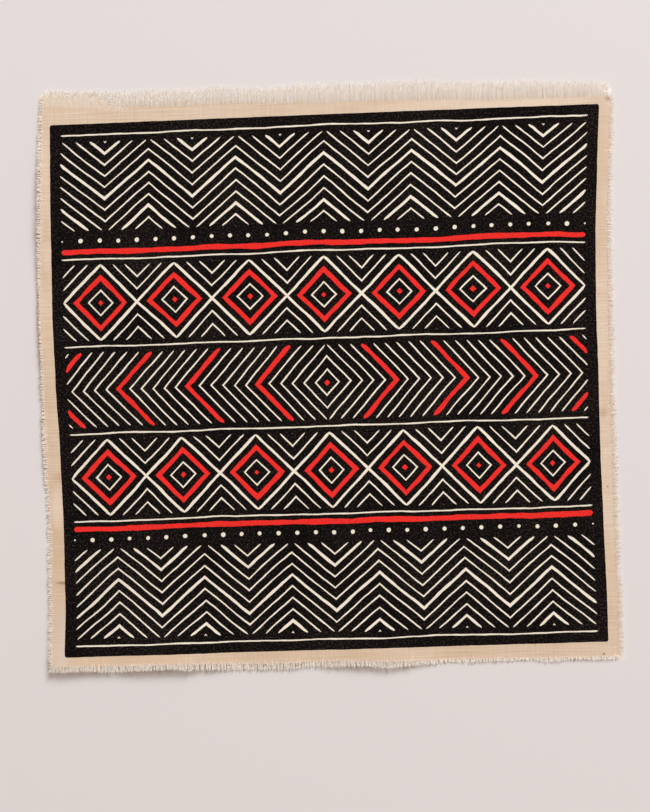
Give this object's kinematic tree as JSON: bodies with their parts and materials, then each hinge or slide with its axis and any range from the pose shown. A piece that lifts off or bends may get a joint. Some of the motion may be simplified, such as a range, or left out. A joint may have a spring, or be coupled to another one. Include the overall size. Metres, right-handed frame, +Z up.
{
  "type": "printed cloth panel with fringed edges",
  "caption": "Near-square printed cotton panel with unravelled edges: a long fringe along one edge and short fray on the others, lying flat.",
  "frame": {"origin": "middle of the underside, on the surface that the panel lies on", "axes": "+Z up out of the printed face, +Y towards the edge with the long fringe, +X along that edge to the right"},
  "size_m": [0.4567, 0.4638, 0.0046],
  "materials": {
    "calico": "unbleached plain-weave cotton, matt, printed on its face in black and red"
  },
  "bodies": {
    "root": {"panel": "calico"}
  },
  "joints": []
}
